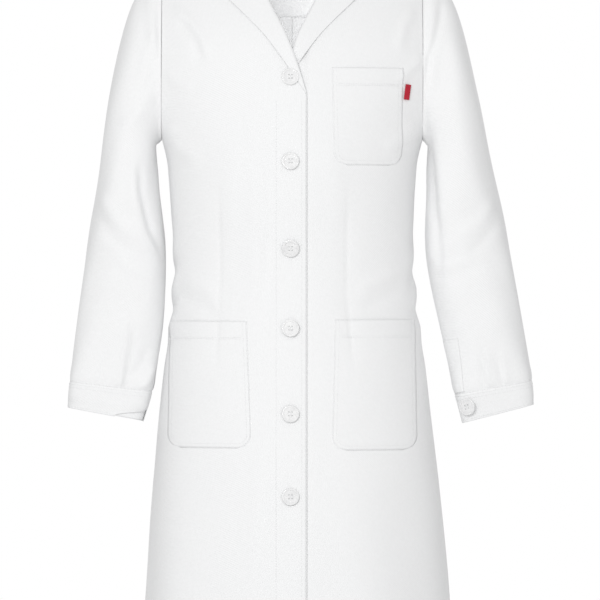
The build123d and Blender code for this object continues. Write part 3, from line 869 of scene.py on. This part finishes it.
def pocket(name, x_in_top, x_in_low, x_out_top, x_out_low, top, bottom, radius, bow):
    """A patch pocket with rounded lower corners and a slightly open mouth."""
    rows, columns = 50, 44
    z = bottom + (top - bottom) * np.linspace(0, 1, rows)
    rise = np.clip(radius - (z - bottom), 0, radius)
    inset = radius - np.sqrt(np.clip(radius**2 - rise**2, 0, None))
    share = (z - bottom) / (top - bottom)
    sign = 1 if x_in_top > 0 else -1
    x_in = x_in_low + (x_in_top - x_in_low) * share + sign * inset
    x_out = x_out_low + (x_out_top - x_out_low) * share - sign * inset
    across = np.linspace(0, 1, columns)[None]
    x = x_in[:, None] + (x_out - x_in)[:, None] * across
    heights = z[:, None]
    edge = np.minimum(across, 1 - across) * np.abs(x_out - x_in)[:, None]
    away = np.minimum(edge, heights - bottom)
    lift = 0.32 + 0.34 * smooth(0, 7, away)
    lift = lift + bow * smooth(0, 40, edge) * smooth(bottom + 30, top, heights)
    lift = lift - 0.5 * bell(heights - (top - POCKET_HEM), 1.6)
    return grid(name, torso(heights, phi_of(x, heights), lift))


# Inner x at the top and bottom, outer x at both, top, bottom, corner radius, bow of the mouth
POCKETS = {
    "breast": (53, 55, 149, 147, -168, -299, 18, 0.7, "chest_pocket"),
    "right_hip": (-60, -54, -166, -168, -507, -677, 20, 1.1, "pocket_right"),
    "left_hip": (57, 53, 166, 168, -505, -680, 20, 1.1, "pocket_left"),
}
for name, (*values, node) in POCKETS.items():
    piece = faces_out(pocket(f"{name}_pocket", *values), middle)
    dress(piece, COTTON, "coat", "coat_cloth", node)
    thicken(piece, 0.4)


# ---------------------------------------------------------------- tab, label and hanger loop

def red_tab():
    """A plain ribbon folded in half, caught in the pocket's outer seam, tilted a little."""
    across = np.concatenate([np.linspace(0, 1, 9), np.linspace(1, 0, 9)])[None]
    down = np.linspace(-10.2, 10.2, 15)[:, None]
    layer = np.concatenate([np.full(9, 2.6), np.full(9, 1.5)])[None]
    length, tilt = 6.4, 0.13
    x = 150.2 + length * across + tilt * down
    z = -199.5 + down - tilt * length * across
    return grid("ribbon_tab", torso(z, phi_of(x, z), layer + 0.4 * across))


tab = faces_out(red_tab(), middle)
dress(tab, RED, "red_tab", "red_tab", "side_tab")
thicken(tab, 0.35)

label_x = np.linspace(-20, 20, 21)[None]
label_z = np.linspace(-47, -29, 11)[:, None]
label_phi = math.pi - phi_of(label_x, label_z)
label = faces_out(grid("plain_label", torso(label_z, label_phi, -2.4)), middle)
dress(label, TAPE, "coat", "label_tape", "neck_label")
thicken(label, 0.4)

loop_turn = np.linspace(math.pi, TAU, 41)
loop_line = np.stack([28.4 * np.cos(loop_turn), 3.1 + 3.4 * np.sin(loop_turn)], -1)
loop_rows = [np.concatenate([loop_line, np.full((41, 1), h)], 1) for h in np.linspace(-3, 3, 6)]
loop = grid("hanging_loop", np.stack(loop_rows))
dress(loop, TAPE, "coat", "tape", "hanger_loop")
thicken(loop, 1.0).offset = 0


# ---------------------------------------------------------------- topstitching

def on_torso(points, lift):
    """A line over the front through points (x, z), sampled every few millimetres."""
    points = np.array(points, float)
    run = np.concatenate([[0], np.cumsum(np.linalg.norm(np.diff(points, axis=0), axis=1))])
    at = np.linspace(0, run[-1], max(2, int(run[-1] / 2)))
    x, z = np.interp(at, run, points[:, 0]), np.interp(at, run, points[:, 1])
    phi = phi_of(x, z)
    return torso(z, phi, lift(z, phi) if callable(lift) else lift)


def pocket_stitch_lines(x_in_top, x_in_low, x_out_top, x_out_low, top, bottom, radius, bow):
    """Two rows inside the pocket's edge, and the rows of its hem."""
    sign = 1 if x_in_top > 0 else -1
    lines = []
    for inset in (1.8, 6.2):
        r = radius - inset
        left, right = x_in_low + sign * inset, x_out_low - sign * inset
        arc = np.linspace(0, math.pi / 2, 9)
        corner_in = [(left + sign * r * (1 - math.sin(a)), bottom + inset + r * (1 - math.cos(a)))
                     for a in arc[::-1]]
        corner_out = [(right - sign * r * (1 - math.sin(a)), bottom + inset + r * (1 - math.cos(a)))
                      for a in arc]
        path = [(x_in_top + sign * inset, top - 1), *corner_in, *corner_out,
                (x_out_top - sign * inset, top - 1)]
        lines.append(on_torso(path, 0.78))
    for drop in (POCKET_HEM - 2, POCKET_HEM):
        path = [(x_in_top + sign * 7, top - drop), (x_out_top - sign * 7, top - drop)]
        lines.append(on_torso(path, lambda z, phi: 0.72 + bow * 0.78))
    return lines


stitch_lines = []
for values in POCKETS.values():
    stitch_lines += pocket_stitch_lines(*values[:-1])
pocket_rows = stitches("pocket_stitching", stitch_lines)
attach(pocket_rows, "coat")

edge_heights = np.linspace(-212, HEM + 14, 260)
front_hem = np.linspace(-1.45, float(phi_of(LAP - 2, HEM_ROW)), 170)
edge_lines = [(edge_heights, phi_of(x, edge_heights)) for x in (LAP - 2.0, LAP - 7.0, -21.2)]
edge_lines.append((np.full(170, HEM_ROW), front_hem))
edge_rows = [torso(z, phi, right_front_lift(z, phi) + STITCH_LIFT) for z, phi in edge_lines]
front_stitching = stitches("right_front_stitching", edge_rows)
blend_corner(front_stitching)

hem_turn = np.linspace(float(phi_of(LAP + 5, HEM_ROW)), 1.5, 150)
back_turn = np.linspace(math.pi + 0.12, 1.5 * math.pi - 0.05, 130)
hem_rows = [torso(np.full(150, HEM_ROW), hem_turn, STITCH_LIFT),
            torso(np.full(130, HEM_ROW), back_turn, STITCH_LIFT)]
seam_heights = np.linspace(-30, VENT_TOP + 4, 230)
back_stitch_lift = LEFT_BACK_LIFT + STITCH_LIFT
hem_rows.append(torso(seam_heights, back_phi(3.0, seam_heights), back_stitch_lift))
hem_stitching = stitches("body_stitching", hem_rows)
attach(hem_stitching, "coat")

vent_heights = np.linspace(VENT_TOP - 4, HEM + 13, 110)
vent_turn = np.linspace(math.pi / 2 + 0.06, float(back_phi(-VENT_LAP + 2, HEM_ROW)), 130)
vent_rows = [torso(vent_heights, back_phi(-VENT_LAP + 3, vent_heights), back_stitch_lift),
             torso(np.full(130, HEM_ROW), vent_turn, back_stitch_lift)]
vent_stitching = stitches("vent_stitching", vent_rows)
blend_vent(vent_stitching)

for side in ("right", "left"):
    rows = []
    for level in (6.06, 6.14, 6.92):
        cut = math.radians(cuff_cut[side]) if level > 6.5 else 0
        around = np.linspace(math.pi + cut + 0.1, TAU + math.pi - 0.1, 140)
        rows.append(sleeve_surface(side, np.array([level]), 0.45, around[None])[0])
    piece = stitches(f"{side}_cuff_stitching", rows)
    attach(piece, f"{side}_forearm")


# ---------------------------------------------------------------- threads in the buttons' holes

def button_thread(name):
    """Two bars of thread across a button's holes, on its face."""
    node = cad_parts[name]
    points = np.array([node.matrix_world @ v.co for v in node.data.vertices]) / MM
    centre = (points.max(0) + points.min(0)) / 2
    spread = np.linalg.svd(points - points.mean(0), full_matrices=False)[2]
    outside = np.array([centre[0] * 0.1, centre[1] - BODY_MIDDLE_Y, 0])
    normal = spread[2] if spread[2] @ outside > 0 else -spread[2]
    face = centre + normal * (((points - centre) @ normal).max() - 0.95)
    side_way = np.cross([0, 0, 1.0], normal)
    side_way /= np.linalg.norm(side_way)
    up = np.cross(normal, side_way)
    half_length, radius = 2.9, 0.36
    vertices, faces = [], []
    for offset in (-2.0, -1.3, 1.3, 2.0):
        base = len(vertices)
        for t in np.linspace(-1, 1, 9):
            middle_of = face + up * offset + side_way * t * half_length
            middle_of = middle_of + normal * (0.75 * (1 - t**4) - 0.35)
            for a in np.linspace(0, TAU, 8, endpoint=False):
                vertices.append(middle_of + up * radius * math.cos(a)
                                + normal * radius * math.sin(a))
        for i in range(8):
            for k in range(8):
                n = (k + 1) % 8
                ring = base + i * 8
                faces.append((ring + k, ring + n, ring + 8 + n, ring + 8 + k))
    piece = mesh_piece(name + "_sewing", vertices, faces)
    piece.data.materials.append(THREAD)
    return piece


for number in range(1, 7):
    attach(button_thread(f"front_button_{number}"), f"button_{number}")
for side in ("right", "left"):
    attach(button_thread(f"cuff_{side}_button"), f"{side}_cuff_button")


# ---------------------------------------------------------------- trim that the CAD model shows

for name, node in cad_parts.items():
    if "thread" in name:
        material = THREAD
    elif "button" in name:
        material = PEARL
    else:
        continue
    node.data.materials.clear()
    node.data.materials.append(material)


# ---------------------------------------------------------------- camera, light and floor

# Places of the camera and lights are in metres, and the lights' powers in watts
VIEW_WIDTH = 0.798
DISTANCE = 8.0
SENSOR = 36                      # millimetres
camera_data = bpy.data.cameras.new("camera")
camera_data.sensor_width = SENSOR
camera_data.lens = SENSOR * DISTANCE / VIEW_WIDTH
camera = bpy.data.objects.new("camera", camera_data)
camera.location = (0.0106, -0.2 - DISTANCE, -0.479)
camera.rotation_euler = (math.pi / 2, 0, 0)
bpy.context.scene.collection.objects.link(camera)
bpy.context.scene.camera = camera
bpy.context.scene.view_settings.view_transform = "Standard"

world = bpy.data.worlds.new("studio")
bpy.context.scene.world = world
world.use_nodes = True
sky = world.node_tree
ambient = sky.nodes["Background"]
ambient.inputs["Color"].default_value = (1, 1, 1, 1)
ambient.inputs["Strength"].default_value = 0.62
backdrop = add_node(sky, "Background", Color=(1, 1, 1, 1), Strength=1.0)
path = add_node(sky, "LightPath")
mix = add_node(sky, "MixShader")
sky.links.new(path.outputs["Is Camera Ray"], mix.inputs["Fac"])
sky.links.new(ambient.outputs[0], mix.inputs[1])
sky.links.new(backdrop.outputs[0], mix.inputs[2])
sky.links.new(mix.outputs[0], sky.nodes["World Output"].inputs["Surface"])


def soft_light(name, place, target, size, power):
    """A round area light that points at a target and isn't seen by the camera."""
    data = bpy.data.lights.new(name, "AREA")
    data.shape = "DISK"
    data.size = size
    data.energy = power
    light = bpy.data.objects.new(name, data)
    light.location = place
    light.visible_camera = False
    vector = Vector(target) - light.location
    light.rotation_euler = vector.to_track_quat("-Z", "Y").to_euler()
    bpy.context.scene.collection.objects.link(light)


soft_light("key", (-0.85, -3.7, 0.32), (0, -0.1, -0.45), 1.3, 48)
soft_light("right_fill", (1.3, -3.4, 0.0), (0.05, -0.1, -0.45), 1.3, 9)
soft_light("back_fill", (1.5, 3.4, 0.9), (0, 0, -0.5), 1.6, 26)
soft_light("neck_fill", (0, -0.115, -0.215), (0, 0.05, -0.075), 0.07, 0.16)

FLOOR_RADIUS = 1700              # millimetres
FLOOR_DROP = 160                 # under the lowest point of the CAD model
floor_turn = np.linspace(0, TAU, 96, endpoint=False)
floor_rim = np.stack([FLOOR_RADIUS * np.cos(floor_turn),
                      BODY_MIDDLE_Y + FLOOR_RADIUS * np.sin(floor_turn),
                      np.full(96, cad_low[2] / MM - FLOOR_DROP)], -1)
floor = mesh_piece("floor", floor_rim, [list(range(96))])
floor_material, _, floor_shader = node_tree("pale floor")
floor_shader.inputs["Base Color"].default_value = (0.8, 0.8, 0.8, 1)
floor_shader.inputs["Roughness"].default_value = 0.8
floor.data.materials.append(floor_material)
floor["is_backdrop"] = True

low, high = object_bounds()
